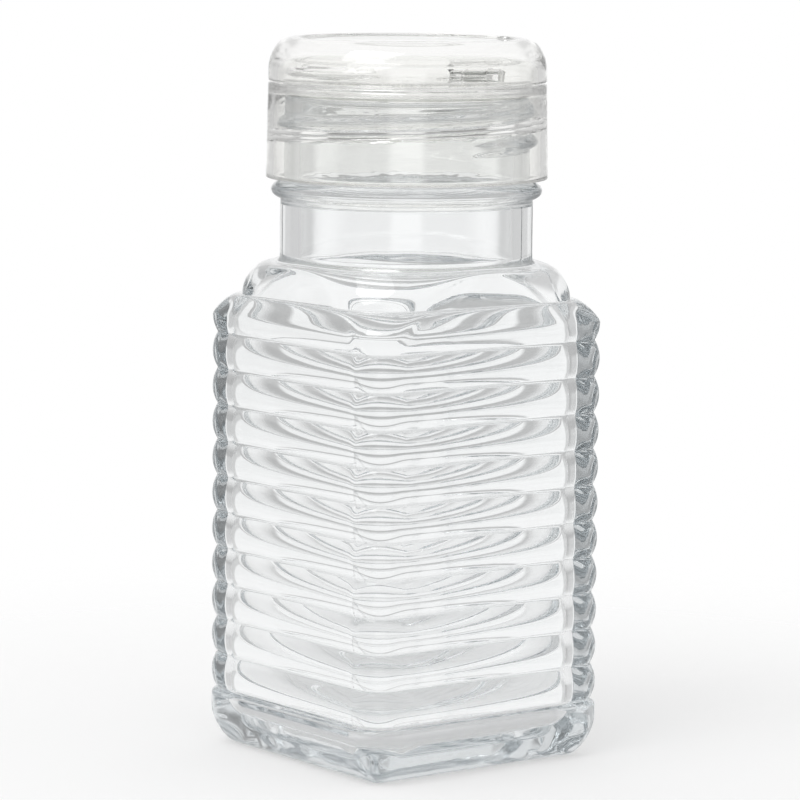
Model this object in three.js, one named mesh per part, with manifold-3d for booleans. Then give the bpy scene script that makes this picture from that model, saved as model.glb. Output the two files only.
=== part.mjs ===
// A small square glass shaker jar for salt. The glass has eleven rounded ribs, a plain foot and a
// screw neck. A clear cap with a perforated deck screws on the neck over a soft ring, and a clear
// lid, hinged at the back on a steel pin, closes the deck.
// Millimetres, +Z up. The origin is the middle of the foot, on the surface that the jar stands on.

import * as THREE from 'three';
import { mergeVertices } from 'three/addons/utils/BufferGeometryUtils.js';
import Module from 'manifold-3d';

const wasm = await Module();
wasm.setup();

// Gaps that keep the pieces apart
const seatGap = 0.3; // between faces that rest on each other
const pinGap = 0.3; // round the pin and beside the knuckle
const threadGap = 0.35; // between the ridge on the glass and the bore of the cap
const overrun = 1; // how far a cutter stands past the face that it cuts

// Jar, body
const bodyHalfWidth = 21.2; // to the crest of a rib
const bodyCornerRadius = 4.8;
const footHeight = 8.25;
const heelInset = 3.6;
const heelHeight = 5.2;
const heelPower = 1.5; // 1 is a straight slope, 2 a quarter round
const footEdgeHeight = 0.9;
const standingBand = 5; // width of the flat band that the jar stands on
const pushUpHeight = 0.6; // the hollow inside that band
const pushUpSlope = 1.6; // how far its edge slopes in
const pushUpCornerRadius = 5;
const ribCount = 11;
const ribPitch = 5.2;
const ribDepth = 0.85;
const cornerRibDepth = 0.75; // round the body's corners the grooves are shallower

// Jar, shoulder and neck
const ledgeRise = 0.4; // the top rib ends this much above its even pitch
const ledgeInset = 1.2;
const ledgeCornerRadius = 8.9;
const ledgePower = 1.3; // how round the top rib runs up to the ledge, as heelPower
const domeInset = 0.3;
const domeCornerRadius = 10.2;
const domeHeight = 5;
const neckRadius = 18.1;
const neckFootRound = 1; // the hollow round between the dome and the neck
const neckHeight = 9.25;
const beadReach = 1.3;
const beadHeight = 2.6;

// Jar, screw finish
const finishInset = 0.55; // from the neck in to the wall that carries the thread
const finishWall = 2.35;
const finishHeight = 11.6;
const rimRound = 0.5;
const threadPitch = 4.23;
const glassThreadDepth = 1.15;
const glassThreadTurns = 1.25;
const glassThreadRoot = 2; // height of the ridge where it meets the wall
const glassThreadCrest = 0.9;
const glassThreadDrop = 1.3; // from the rim down to the middle of the ridge at its top end
const glassThreadTurnedBy = -12; // degrees from +X to the lower end of the ridge
const threadRootDepth = 0.6; // how deep a ridge is set into its wall

// Jar, inside
const wallThickness = 2.2; // behind the groove between two ribs
const cavityCornerRadius = 4;
const floorThickness = 3.4; // above the hollow under the foot
const cavityHeelRadius = 4;
const innerShoulderDrop = 2.4; // the inner shoulder starts this far below the ledge

// Sealing ring
const ringThickness = 0.6;
const ringOuterInset = 0.15; // in from the wall of the rim
const ringInnerInset = 0.2; // out from the bore

// Screw cap
const skirtWall = 0.83;
const skirtDraft = 0.28; // the mouth is wider than the shoulder by this much a side
const skirtMouthChamfer = 0.4;
const capThreadDepth = 1;
const capThreadTurns = 1.1;
const capThreadRoot = 1.7;
const capThreadCrest = 0.8;
const capThreadOffset = 1.55; // the cap's ridge runs this far below the ridge on the glass
const capThreadDrop = 2.15; // from the seat down to the middle of the ridge at its top end
const deckThickness = 1;
const seatOverlap = 0.6; // the seat of the ring reaches this far in past the bore
const spigotHeight = 0.8; // the raised middle that the lid closes over
const spigotGap = 0.73; // between it and the lid's wall
const spigotFlatInset = 1; // the flat beside the hinge
const edgeBreak = 0.3;
const holeRadius = 1.2;
const holeRingRadius = 6.4;
const holeRingCount = 6;

// Flip lid
const lidHeight = 6.05;
const lidWall = 1.35;
const lidTopThickness = 1.05;
const lidEdgeReach = 3.2; // the rounded top edge, measured inward
const lidEdgeHeight = 4.8;
const lidRim = 1.48; // width of the level rim round the dish in the top
const lidDishDepth = 0.35;
const lidFrontTurn = 18; // degrees from the -Y side to the front of the lid
const thumbNotchHeight = 1.5;
const thumbNotchDepth = 0.6;
const thumbNotchHalfWidth = 8.3;
const thumbNotchRise = 1.6; // from the lid's lower edge to the middle of the notch

// Hinge
const hingeInset = 0.78; // the pin lies this far inside the cap's shoulder edge
const pinRadius = 0.75;
const pinEndInset = 0.2;
const knuckleRadius = 1.7;
const knuckleLength = 4;
const earLength = 2.1;
const earFootReach = 0.9; // how far an ear's foot stands out from under the pin

// Numbers of facets
const segments = { round: 40, small: 14, heel: 3, dome: 5, rib: 4, fillet: 2, turn: 24 };
const quadrantDirections = [0, 15, 30, 36, 40, 45, 50, 54, 60, 75]; // degrees, closer at a corner

// Widths that follow from the sizes above
const ledgeHalfWidth = bodyHalfWidth - ledgeInset;
const domeHalfWidth = ledgeHalfWidth - domeInset;
const pushUpHalfWidth = bodyHalfWidth - heelInset - standingBand - pushUpSlope;
const cavityHalfWidth = bodyHalfWidth - ribDepth - wallThickness;
const neckFootRadius = neckRadius + neckFootRound;
const beadRadius = neckRadius + beadReach;
const finishRadius = neckRadius - finishInset;
const boreRadius = finishRadius - finishWall;
const glassThreadRadius = finishRadius + glassThreadDepth;
const skirtBoreRadius = glassThreadRadius + threadGap;
const capThreadRadius = skirtBoreRadius - capThreadDepth;
const skirtTopRadius = skirtBoreRadius + skirtWall;
const skirtRadius = skirtTopRadius + skirtDraft;
const lidBoreRadius = skirtTopRadius - lidWall;
const spigotRadius = lidBoreRadius - spigotGap;
const spigotFlat = spigotRadius - spigotFlatInset;
const hingeRadius = skirtTopRadius - hingeInset;
const hingeHalfLength = knuckleLength / 2 + pinGap + earLength;

// Heights that follow from the sizes above
const ribTop = footHeight + ribCount * ribPitch;
const ledgeHeight = ribTop + ledgeRise;
const neckBottom = ledgeHeight + domeHeight;
const beadBottom = neckBottom + neckHeight;
const finishBottom = beadBottom + beadHeight;
const rimHeight = finishBottom + finishHeight;
const ringBottom = rimHeight + seatGap;
const ringTop = ringBottom + ringThickness;
const seatHeight = ringTop + seatGap;
const shoulderHeight = seatHeight + deckThickness;
const deckTop = shoulderHeight + spigotHeight;
const deckUnderside = deckTop - deckThickness;
const skirtMouth = finishBottom + seatGap;
const glassThreadStart = rimHeight - glassThreadDrop - glassThreadTurns * threadPitch;
const capThreadStart = seatHeight - capThreadDrop - capThreadTurns * threadPitch;
const lidBottom = shoulderHeight + seatGap;
const lidTop = lidBottom + lidHeight;
const lidDish = lidTop - lidDishDepth;
const lidCeiling = lidDish - lidTopThickness;
const hingeHeight = shoulderHeight + seatGap + knuckleRadius;
const cavityFloor = pushUpHeight + floorThickness;

// A groove's corner radius falls this much faster than its half width, so that the corner is
// cornerRibDepth deep.
const grooveCornerShare = (Math.SQRT2 - cornerRibDepth / ribDepth) / (Math.SQRT2 - 1);

const radians = THREE.MathUtils.degToRad;
const mix = THREE.MathUtils.lerp;

// How far a rounded quarter has bent away after a share of its run, from 0 to 1.
function roundedShare(runShare, power = 2) {
  return 1 - (1 - runShare ** power) ** (1 / power);
}

// Distance from the axis to a rounded square, in a direction given in radians.
function reach(direction, halfWidth, cornerRadius) {
  const quarter = Math.PI / 2;
  const folded = direction % quarter;
  const angle = Math.min(folded, quarter - folded);
  const cornerCentre = halfWidth - cornerRadius;
  if (halfWidth * Math.tan(angle) <= cornerCentre) {
    return halfWidth / Math.cos(angle);
  }
  const across = cornerCentre * (Math.cos(angle) - Math.sin(angle));
  const along = cornerCentre * (Math.cos(angle) + Math.sin(angle));
  return along + Math.sqrt(cornerRadius * cornerRadius - across * across);
}

function squareSection(z, halfWidth, cornerRadius) {
  return { z, halfWidth, cornerRadius };
}

function roundSection(z, radius) {
  return { z, halfWidth: radius, cornerRadius: radius };
}

// A closed surface through level sections, from the middle of the first to the middle of the last.
function loft(sections) {
  const directions = [];
  for (let quadrant = 0; quadrant < 4; quadrant += 1) {
    for (const direction of quadrantDirections) {
      directions.push(radians(direction + 90 * quadrant));
    }
  }
  const around = directions.length;
  const positions = [];
  for (const { z, halfWidth, cornerRadius } of sections) {
    for (const direction of directions) {
      const distance = reach(direction, halfWidth, cornerRadius);
      positions.push(distance * Math.cos(direction), distance * Math.sin(direction), z);
    }
  }
  const firstMiddle = sections.length * around;
  const lastMiddle = firstMiddle + 1;
  const lastRing = firstMiddle - around;
  positions.push(0, 0, sections[0].z, 0, 0, sections[sections.length - 1].z);
  const index = [];
  for (let side = 0; side < around; side += 1) {
    const next = (side + 1) % around;
    index.push(firstMiddle, next, side);
    index.push(lastMiddle, lastRing + side, lastRing + next);
    for (let ring = 0; ring < lastRing; ring += around) {
      index.push(ring + side, ring + next, ring + around + next);
      index.push(ring + side, ring + around + next, ring + around + side);
    }
  }
  const geometry = new THREE.BufferGeometry();
  geometry.setAttribute('position', new THREE.Float32BufferAttribute(positions, 3));
  geometry.setIndex(index);
  return geometry;
}

// A solid turned about the Z axis from a profile of [radius, height] points.
function turned(profile) {
  const points = profile.map(([radius, height]) => new THREE.Vector2(radius, height));
  const geometry = new THREE.LatheGeometry(points, segments.round);
  geometry.rotateX(Math.PI / 2);
  return solid(geometry);
}

// A closed mesh as a solid that can be joined and cut.
function solid(geometry) {
  const bare = geometry.clone();
  bare.deleteAttribute('normal');
  bare.deleteAttribute('uv');
  const merged = mergeVertices(bare);
  const corners = merged.index.array;
  const kept = [];
  for (let at = 0; at < corners.length; at += 3) {
    const [a, b, c] = corners.slice(at, at + 3);
    if (a !== b && b !== c && c !== a) {
      kept.push(a, b, c);
    }
  }
  return new wasm.Manifold(new wasm.Mesh({
    numProp: 3,
    vertProperties: new Float32Array(merged.attributes.position.array),
    triVerts: new Uint32Array(kept),
  }));
}

// A named mesh of a solid, in its own material.
function piece(name, shape, material) {
  const { vertProperties, triVerts } = shape.getMesh();
  const geometry = new THREE.BufferGeometry();
  geometry.setAttribute('position', new THREE.BufferAttribute(vertProperties, 3));
  geometry.setIndex(new THREE.BufferAttribute(triVerts, 1));
  geometry.computeVertexNormals();
  const mesh = new THREE.Mesh(geometry, new THREE.MeshStandardMaterial(material));
  mesh.name = name;
  return mesh;
}

// A ridge that climbs round the axis to the right. Both ends sink back into the wall.
function threadRidge({ wallRadius, crestRadius, rootHeight, crestHeight, startZ, turns, startAngle }) {
  const outward = Math.sign(crestRadius - wallRadius);
  const rootRadius = wallRadius - outward * threadRootDepth;
  const endRadius = wallRadius - outward * threadRootDepth / 2;
  const steps = Math.round(turns * segments.turn);
  const runOutSteps = segments.turn / 8;
  const positions = [];
  for (let step = 0; step <= steps; step += 1) {
    const angle = startAngle + 2 * Math.PI * step / segments.turn;
    const z = startZ + threadPitch * step / segments.turn;
    const heightShare = Math.min(1, step / runOutSteps, (steps - step) / runOutSteps);
    const crest = mix(endRadius, crestRadius, heightShare);
    const lower = [[rootRadius, -rootHeight / 2], [crest, -crestHeight / 2]];
    const upper = [[crest, crestHeight / 2], [rootRadius, rootHeight / 2]];
    for (const [radius, rise] of [...lower, ...upper]) {
      positions.push(radius * Math.cos(angle), radius * Math.sin(angle), z + rise);
    }
  }
  const last = 4 * steps;
  const index = [0, 1, 2, 0, 2, 3, last, last + 2, last + 1, last, last + 3, last + 2];
  for (let ring = 0; ring < last; ring += 4) {
    for (let side = 0; side < 4; side += 1) {
      const here = ring + side;
      const beside = ring + (side + 1) % 4;
      index.push(here, here + 4, beside + 4, here, beside + 4, beside);
    }
  }
  if (outward < 0) {
    index.reverse();
  }
  const geometry = new THREE.BufferGeometry();
  geometry.setAttribute('position', new THREE.Float32BufferAttribute(positions, 3));
  geometry.setIndex(index);
  return solid(geometry);
}

// The outside of the foot: a hollow, a flat band to stand on, and a rounded heel.
function footSections() {
  const bandHalfWidth = bodyHalfWidth - heelInset;
  const bandCornerRadius = bodyCornerRadius - heelInset;
  const sections = [
    squareSection(pushUpHeight, pushUpHalfWidth, pushUpCornerRadius),
    squareSection(0, pushUpHalfWidth + pushUpSlope, pushUpCornerRadius + pushUpSlope),
    squareSection(0, bandHalfWidth, bandCornerRadius),
  ];
  for (let step = 1; step <= segments.heel; step += 1) {
    const runShare = Math.cos(Math.PI / 2 * step / segments.heel);
    const out = heelInset * (1 - roundedShare(runShare, heelPower));
    const z = heelHeight * (1 - runShare);
    sections.push(squareSection(z, bandHalfWidth + out, bandCornerRadius + out));
  }
  sections.push(squareSection(footHeight - footEdgeHeight, bodyHalfWidth, bodyCornerRadius));
  return sections;
}

// The ribs: each is a shallow bow between two sharp grooves, and the top one ends in a ledge.
function ribSections() {
  const sections = [];
  for (let rib = 0; rib < ribCount; rib += 1) {
    const stepsHere = rib < ribCount - 1 ? segments.rib : segments.rib / 2 + 1;
    for (let step = 0; step < stepsHere; step += 1) {
      const fromMiddleShare = 2 * step / segments.rib - 1;
      const inset = ribDepth * fromMiddleShare * fromMiddleShare;
      const z = footHeight + ribPitch * (rib + step / segments.rib);
      const cornerRadius = bodyCornerRadius - grooveCornerShare * inset;
      sections.push(squareSection(z, bodyHalfWidth - inset, cornerRadius));
    }
  }
  const topCrest = ribTop - ribPitch / 2;
  for (let step = 1; step <= segments.heel; step += 1) {
    const runShare = Math.sin(Math.PI / 2 * step / segments.heel);
    const bentShare = roundedShare(runShare, ledgePower);
    sections.push(squareSection(
      mix(topCrest, ledgeHeight, runShare),
      mix(bodyHalfWidth, ledgeHalfWidth, bentShare),
      mix(bodyCornerRadius, ledgeCornerRadius, bentShare),
    ));
  }
  return sections;
}

// The shoulder: a dome that turns from a rounded square into the round neck.
function domeSections() {
  const sections = [squareSection(ledgeHeight, domeHalfWidth, domeCornerRadius)];
  for (let step = 1; step <= segments.dome; step += 1) {
    const runShare = Math.sin(Math.PI / 2 * step / segments.dome);
    const bentShare = roundedShare(runShare);
    sections.push(squareSection(
      mix(ledgeHeight, neckBottom, runShare),
      mix(domeHalfWidth, neckFootRadius, bentShare),
      mix(domeCornerRadius, neckFootRadius, bentShare),
    ));
  }
  for (let step = 1; step < segments.fillet; step += 1) {
    const bend = Math.PI / 2 * step / segments.fillet;
    const radius = neckFootRadius - neckFootRound * Math.sin(bend);
    sections.push(roundSection(neckBottom + neckFootRound * (1 - Math.cos(bend)), radius));
  }
  sections.push(roundSection(neckBottom + neckFootRound, neckRadius));
  return sections;
}

// The neck, its bead, the wall under the thread and the rim.
function neckSections() {
  const sections = [roundSection(beadBottom, neckRadius)];
  const beadSteps = segments.heel;
  for (let step = 1; step <= beadSteps; step += 1) {
    const fromMiddleShare = 2 * (step - 1 / 2) / beadSteps - 1;
    const bulge = Math.sqrt(1 - fromMiddleShare * fromMiddleShare);
    const z = beadBottom + beadHeight * (step - 1 / 2) / beadSteps;
    sections.push(roundSection(z, mix(neckRadius, beadRadius, bulge)));
  }
  sections.push(roundSection(finishBottom, finishRadius));
  sections.push(roundSection(rimHeight - rimRound, finishRadius));
  sections.push(roundSection(rimHeight, finishRadius - rimRound));
  sections.push(roundSection(rimHeight, boreRadius + rimRound));
  sections.push(roundSection(rimHeight - rimRound, boreRadius));
  return sections;
}

// The inside: the bore, the inner shoulder, plain walls and a rounded floor.
function cavitySections() {
  const shoulderStart = ledgeHeight - innerShoulderDrop;
  const sections = [];
  for (let step = segments.dome; step >= 0; step -= 1) {
    const runShare = Math.sin(Math.PI / 2 * step / segments.dome);
    const bentShare = roundedShare(runShare);
    sections.push(squareSection(
      mix(shoulderStart, neckBottom, runShare),
      mix(cavityHalfWidth, boreRadius, bentShare),
      mix(cavityCornerRadius, boreRadius, runShare),
    ));
  }
  for (let step = 0; step <= segments.heel; step += 1) {
    const bend = Math.PI / 2 * step / segments.heel;
    const inset = cavityHeelRadius * (1 - Math.cos(bend));
    const z = cavityFloor + cavityHeelRadius * (1 - Math.sin(bend));
    sections.push(squareSection(z, cavityHalfWidth - inset, cavityCornerRadius - inset / 2));
  }
  return sections;
}

function makeJar() {
  const glass = solid(loft([
    ...footSections(),
    ...ribSections(),
    ...domeSections(),
    ...neckSections(),
    ...cavitySections(),
  ]));
  const thread = threadRidge({
    wallRadius: finishRadius,
    crestRadius: glassThreadRadius,
    rootHeight: glassThreadRoot,
    crestHeight: glassThreadCrest,
    startZ: glassThreadStart,
    turns: glassThreadTurns,
    startAngle: radians(glassThreadTurnedBy),
  });
  return glass.add(thread);
}

function makeSealingRing() {
  const inner = boreRadius + ringInnerInset;
  const outer = finishRadius - ringOuterInset;
  return turned([
    [inner, ringBottom],
    [outer, ringBottom],
    [outer, ringTop],
    [inner, ringTop],
    [inner, ringBottom],
  ]);
}

// A block beside the hinge, in the cap's own turn: its back reaches far past the hinge.
function hingeBlock({ front, halfLength, bottom, top, back }) {
  const block = new THREE.BoxGeometry(2 * halfLength, back - front, top - bottom);
  block.translate(0, (front + back) / 2, (bottom + top) / 2);
  return solid(block);
}

// A round bar along the hinge.
function hingeBar(radius, from, to) {
  const bar = new THREE.CylinderGeometry(radius, radius, to - from, segments.small);
  bar.rotateZ(Math.PI / 2);
  bar.translate((from + to) / 2, hingeRadius, hingeHeight);
  return solid(bar);
}

// One ear of the hinge: an arch over the pin on a foot that stands in the cap's shoulder.
function hingeEar(from, to) {
  const outline = new THREE.Shape();
  const footDepth = hingeHeight - (shoulderHeight - deckThickness / 2);
  outline.moveTo(-knuckleRadius, -footDepth);
  outline.lineTo(earFootReach, -footDepth);
  outline.absarc(0, 0, knuckleRadius, 0, Math.PI, false);
  outline.closePath();
  const ear = new THREE.ExtrudeGeometry(outline, {
    depth: to - from,
    bevelEnabled: false,
    curveSegments: segments.small / 2,
  });
  ear.rotateX(Math.PI / 2);
  ear.rotateZ(Math.PI / 2);
  ear.translate(from, hingeRadius, hingeHeight);
  return solid(ear);
}

function skirtAndDeck() {
  return turned([
    [0, deckUnderside],
    [boreRadius - seatOverlap, deckUnderside],
    [boreRadius - seatOverlap, seatHeight],
    [skirtBoreRadius, seatHeight],
    [skirtBoreRadius, skirtMouth + skirtMouthChamfer],
    [skirtBoreRadius + skirtMouthChamfer, skirtMouth],
    [skirtRadius, skirtMouth],
    [skirtTopRadius, shoulderHeight - edgeBreak],
    [skirtTopRadius - edgeBreak, shoulderHeight],
    [spigotRadius, shoulderHeight],
    [spigotRadius, deckTop - edgeBreak],
    [spigotRadius - edgeBreak, deckTop],
    [0, deckTop],
  ]);
}

function pourHoles() {
  const places = [[0, 0]];
  for (let hole = 0; hole < holeRingCount; hole += 1) {
    const angle = 2 * Math.PI * hole / holeRingCount;
    places.push([holeRingRadius * Math.cos(angle), holeRingRadius * Math.sin(angle)]);
  }
  return places.map(([x, y]) => {
    const height = deckThickness + 2 * overrun;
    const drill = new THREE.CylinderGeometry(holeRadius, holeRadius, height, segments.small);
    drill.rotateX(Math.PI / 2);
    drill.translate(x, y, deckTop - deckThickness / 2);
    return solid(drill);
  });
}

function makeScrewCap() {
  const thread = threadRidge({
    wallRadius: skirtBoreRadius,
    crestRadius: capThreadRadius,
    rootHeight: capThreadRoot,
    crestHeight: capThreadCrest,
    startZ: capThreadStart,
    turns: capThreadTurns,
    startAngle: capThreadAngle(),
  });
  const besideSpigot = hingeBlock({
    front: spigotFlat,
    back: skirtRadius + overrun,
    halfLength: spigotRadius,
    bottom: shoulderHeight,
    top: deckTop + overrun,
  });
  let cap = skirtAndDeck().add(thread).subtract(besideSpigot);
  const innerEnd = knuckleLength / 2 + pinGap;
  cap = cap.add(hingeEar(innerEnd, hingeHalfLength));
  cap = cap.add(hingeEar(-hingeHalfLength, -innerEnd));
  const reachOver = hingeHalfLength + overrun;
  cap = cap.subtract(hingeBar(pinRadius + pinGap, -reachOver, reachOver));
  for (const hole of pourHoles()) {
    cap = cap.subtract(hole);
  }
  return cap;
}

// Where the cap's ridge starts, so that it runs one offset below the ridge on the glass. The cap
// is built before it is turned to its place, so that turn is taken off again.
function capThreadAngle() {
  const rise = capThreadStart + capThreadOffset - glassThreadStart;
  return radians(glassThreadTurnedBy - lidFrontTurn) + 2 * Math.PI * rise / threadPitch;
}

// The lid's shell: an upturned cup with a rounded top edge and a shallow dish in its top.
function lidShell() {
  const outside = [];
  const inside = [];
  const edgeBottom = lidTop - lidEdgeHeight;
  const dishRadius = skirtTopRadius - lidEdgeReach - lidRim;
  const innerHeight = lidCeiling - edgeBottom;
  for (let step = 0; step <= segments.dome; step += 1) {
    const bend = Math.PI / 2 * step / segments.dome;
    const inward = 1 - Math.cos(bend);
    outside.push([
      skirtTopRadius - lidEdgeReach * inward,
      edgeBottom + lidEdgeHeight * Math.sin(bend),
    ]);
    inside.push([
      lidBoreRadius - lidEdgeReach * inward,
      edgeBottom + innerHeight * Math.sin(bend),
    ]);
  }
  return turned([
    [0, lidCeiling],
    ...inside.reverse(),
    [lidBoreRadius, lidBottom],
    [skirtTopRadius - edgeBreak, lidBottom],
    [skirtTopRadius, lidBottom + edgeBreak],
    ...outside,
    [dishRadius + lidDishDepth, lidTop],
    [dishRadius, lidDish],
    [0, lidDish],
  ]);
}

// A ring whose near side grazes the front of the lid and leaves a lens-shaped dent for the thumb.
function thumbNotch() {
  const surface = skirtTopRadius;
  const endBack = surface - Math.sqrt(surface * surface - thumbNotchHalfWidth * thumbNotchHalfWidth);
  const bow = endBack - thumbNotchDepth;
  const innerEdge = (thumbNotchHalfWidth * thumbNotchHalfWidth + bow * bow) / (2 * bow);
  const tube = thumbNotchHeight / 2;
  const arcSteps = segments.round * 3;
  const cutter = new THREE.TorusGeometry(innerEdge + tube, tube, segments.small / 2 + 1, arcSteps);
  const centre = surface - thumbNotchDepth - innerEdge;
  cutter.translate(0, -centre, lidBottom + thumbNotchRise);
  return solid(cutter);
}

function makeFlipLid() {
  const knuckleHalf = knuckleLength / 2;
  const clearTop = hingeHeight + knuckleRadius + pinGap;
  const hingeWindow = hingeBlock({
    front: spigotFlat,
    back: skirtRadius + overrun,
    halfLength: hingeHalfLength + pinGap,
    bottom: lidBottom - overrun,
    top: clearTop,
  });
  const web = hingeBlock({
    front: hingeRadius - knuckleRadius / 2,
    back: hingeRadius + pinRadius / 2,
    halfLength: knuckleHalf,
    bottom: hingeHeight,
    top: clearTop + edgeBreak,
  });
  let lid = lidShell().subtract(thumbNotch()).subtract(hingeWindow);
  lid = lid.add(web).add(hingeBar(knuckleRadius, -knuckleHalf, knuckleHalf));
  return lid.subtract(hingeBar(pinRadius + pinGap, -knuckleLength, knuckleLength));
}

function makeHingePin() {
  const halfLength = hingeHalfLength - pinEndInset;
  return hingeBar(pinRadius, -halfLength, halfLength);
}

const shaker = new THREE.Group();
shaker.add(piece('glass_jar', makeJar(), {
  color: '#e6ebed', roughness: 0.04, metalness: 0, transparent: true, opacity: 0.35,
}));
shaker.add(piece('sealing_ring', makeSealingRing(), { color: '#dcdcd4', roughness: 0.5, metalness: 0 }));

// The cap stops on its thread with the lid's front a little off the jar's own front.
const closure = new THREE.Group();
closure.rotation.z = radians(lidFrontTurn);
closure.add(piece('screw_cap', makeScrewCap(), {
  color: '#e4e4dc', roughness: 0.08, metalness: 0, transparent: true, opacity: 0.45,
}));
closure.add(piece('flip_lid', makeFlipLid(), {
  color: '#ebebe6', roughness: 0.08, metalness: 0, transparent: true, opacity: 0.45,
}));
closure.add(piece('hinge_pin', makeHingePin(), { color: '#b9bbbd', roughness: 0.3, metalness: 1 }));
shaker.add(closure);

export default shaker;
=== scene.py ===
import bpy
import numpy as np
from mathutils import Matrix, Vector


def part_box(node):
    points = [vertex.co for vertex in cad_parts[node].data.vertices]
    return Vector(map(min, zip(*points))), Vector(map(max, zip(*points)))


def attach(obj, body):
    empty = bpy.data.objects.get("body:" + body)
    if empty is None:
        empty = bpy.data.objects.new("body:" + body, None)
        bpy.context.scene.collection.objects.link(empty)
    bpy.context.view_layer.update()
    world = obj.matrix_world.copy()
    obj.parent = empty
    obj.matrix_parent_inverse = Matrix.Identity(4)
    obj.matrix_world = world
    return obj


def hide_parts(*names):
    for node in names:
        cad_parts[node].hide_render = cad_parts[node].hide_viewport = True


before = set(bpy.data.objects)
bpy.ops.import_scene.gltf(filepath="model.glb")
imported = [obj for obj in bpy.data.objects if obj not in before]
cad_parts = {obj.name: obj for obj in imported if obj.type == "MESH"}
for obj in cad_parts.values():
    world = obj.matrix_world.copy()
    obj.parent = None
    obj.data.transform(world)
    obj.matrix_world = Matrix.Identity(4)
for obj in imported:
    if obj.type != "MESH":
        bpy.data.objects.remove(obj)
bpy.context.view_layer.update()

# Glass jar: one piece of clear soda-lime glass, blown and pressed in a two-part mould, square
# with rounded corners, eleven level ribs, a plain foot, a domed shoulder and a screw neck.
# Everything else stands on it. The inside was shaped by air, so its walls waver a little.
MM = 0.001
JAR_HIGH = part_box("glass_jar")[1]
BODY_HALF = JAR_HIGH.x
RIM_HEIGHT = JAR_HIGH.z
BODY_CORNER = 4.8 * MM
FOOT_HEIGHT = 8.25 * MM
HEEL_INSET = 3.6 * MM
HEEL_HEIGHT = 5.2 * MM
HEEL_POWER = 1.5
FOOT_EDGE = 0.9 * MM
PUSH_UP_HALF = 11 * MM
PUSH_UP_CORNER = 5 * MM
PUSH_UP_HEIGHT = 0.6 * MM
PUSH_UP_SLOPE = 1.6 * MM
RIB_COUNT = 11
RIB_PITCH = 5.2 * MM
RIB_DEPTH = 0.85 * MM
CORNER_RIB_DEPTH = 0.75 * MM
LEDGE_RISE = 0.4 * MM
LEDGE_INSET = 1.2 * MM
LEDGE_CORNER = 8.9 * MM
LEDGE_POWER = 1.3
DOME_INSET = 0.3 * MM
DOME_CORNER = 10.2 * MM
DOME_HEIGHT = 5 * MM
NECK_RADIUS = 18.1 * MM
NECK_FOOT_ROUND = 1 * MM
BEAD_REACH = 1.55 * MM
BEAD_HEIGHT = 2.6 * MM
BEAD_POWER = 0.6
FINISH_HEIGHT = 11.6 * MM
FINISH_INSET = 0.55 * MM
FINISH_WALL = 2.35 * MM
RIM_ROUND = 0.5 * MM
THREAD_PITCH = 4.23 * MM
THREAD_FADE_TURNS = 1 / 8
GLASS_THREAD_DEPTH = 1.15 * MM
GLASS_THREAD_HEIGHT = 2 * MM
GLASS_THREAD_TURNS = 1.25
GLASS_THREAD_DROP = 1.3 * MM
GLASS_THREAD_FROM = np.radians(-12)
WALL = 2.3 * MM
CAVITY_CORNER = 4 * MM
FLOOR_THICKNESS = 3.4 * MM
CAVITY_HEEL = 5 * MM

# The inside starts to close a little under the ledge, turns into the bore by a soft bend, and
# stands slightly off the middle, which makes the jar's reflections lopsided.
INNER_SHOULDER_DROP = 4 * MM
INNER_ROUNDING_EVEN_SHARE = 0.75
INNER_NECK_ROUND = 1.2 * MM
OFF_CENTRE = np.array([-0.24, -0.32]) * MM
WAVER = 0.03 * MM
WAVE_STEP = 9 * MM
WAVES = ((0.45, 0.7, 3, 0.8), (0.35, 1.3, -2, 2.1), (0.2, 2.3, 7, 4.0))

# The two halves of the mould leave a fine raised seam on two opposite corners.
SEAM_HEIGHT = 0.04 * MM
SEAM_WIDTH = 0.35 * MM
SEAM_DIRECTION = np.radians(45)

# The mesh has more columns near the corners, where the glass turns fastest.
COLUMNS_A_QUARTER = 50
CORNER_CROWDING = 0.72
POLE_SHARE = 0.05

RIB_TOP = FOOT_HEIGHT + RIB_COUNT * RIB_PITCH
LEDGE = RIB_TOP + LEDGE_RISE
NECK_BOTTOM = LEDGE + DOME_HEIGHT
FINISH_BOTTOM = RIM_HEIGHT - FINISH_HEIGHT
BEAD_BOTTOM = FINISH_BOTTOM - BEAD_HEIGHT
FINISH_RADIUS = NECK_RADIUS - FINISH_INSET
BORE = FINISH_RADIUS - FINISH_WALL
LEDGE_HALF = BODY_HALF - LEDGE_INSET
DOME_HALF = LEDGE_HALF - DOME_INSET
CAVITY_HALF = BODY_HALF - RIB_DEPTH - WALL
GROOVE_CORNER_SHARE = (np.sqrt(2) - CORNER_RIB_DEPTH / RIB_DEPTH) / (np.sqrt(2) - 1)
CAVITY_FLOOR = PUSH_UP_HEIGHT + FLOOR_THICKNESS
CAVITY_HEEL_TOP = CAVITY_FLOOR + CAVITY_HEEL
SHOULDER_START = LEDGE - INNER_SHOULDER_DROP
GLASS_THREAD_START = RIM_HEIGHT - GLASS_THREAD_DROP - GLASS_THREAD_TURNS * THREAD_PITCH


def share(count, whole=False):
    """Even shares from 0 up to 1, without the 1 unless whole is asked for."""
    return np.linspace(0, 1, count, endpoint=whole)


def level_rows(height, half_width, corner):
    """Level rounded squares, one a row: height, half width and corner radius."""
    return np.stack(np.broadcast_arrays(height, half_width, corner), axis=1)


def around(columns_a_quarter):
    """Directions once round, drawn towards the four corners: 45 degrees times a cubic of the place."""
    place = 2 * share(columns_a_quarter) - 1
    quarter = np.radians(45 + 45 * ((1 - CORNER_CROWDING) * place + CORNER_CROWDING * place**3))
    return (quarter + np.radians([[0], [90], [180], [270]])).ravel()


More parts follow.
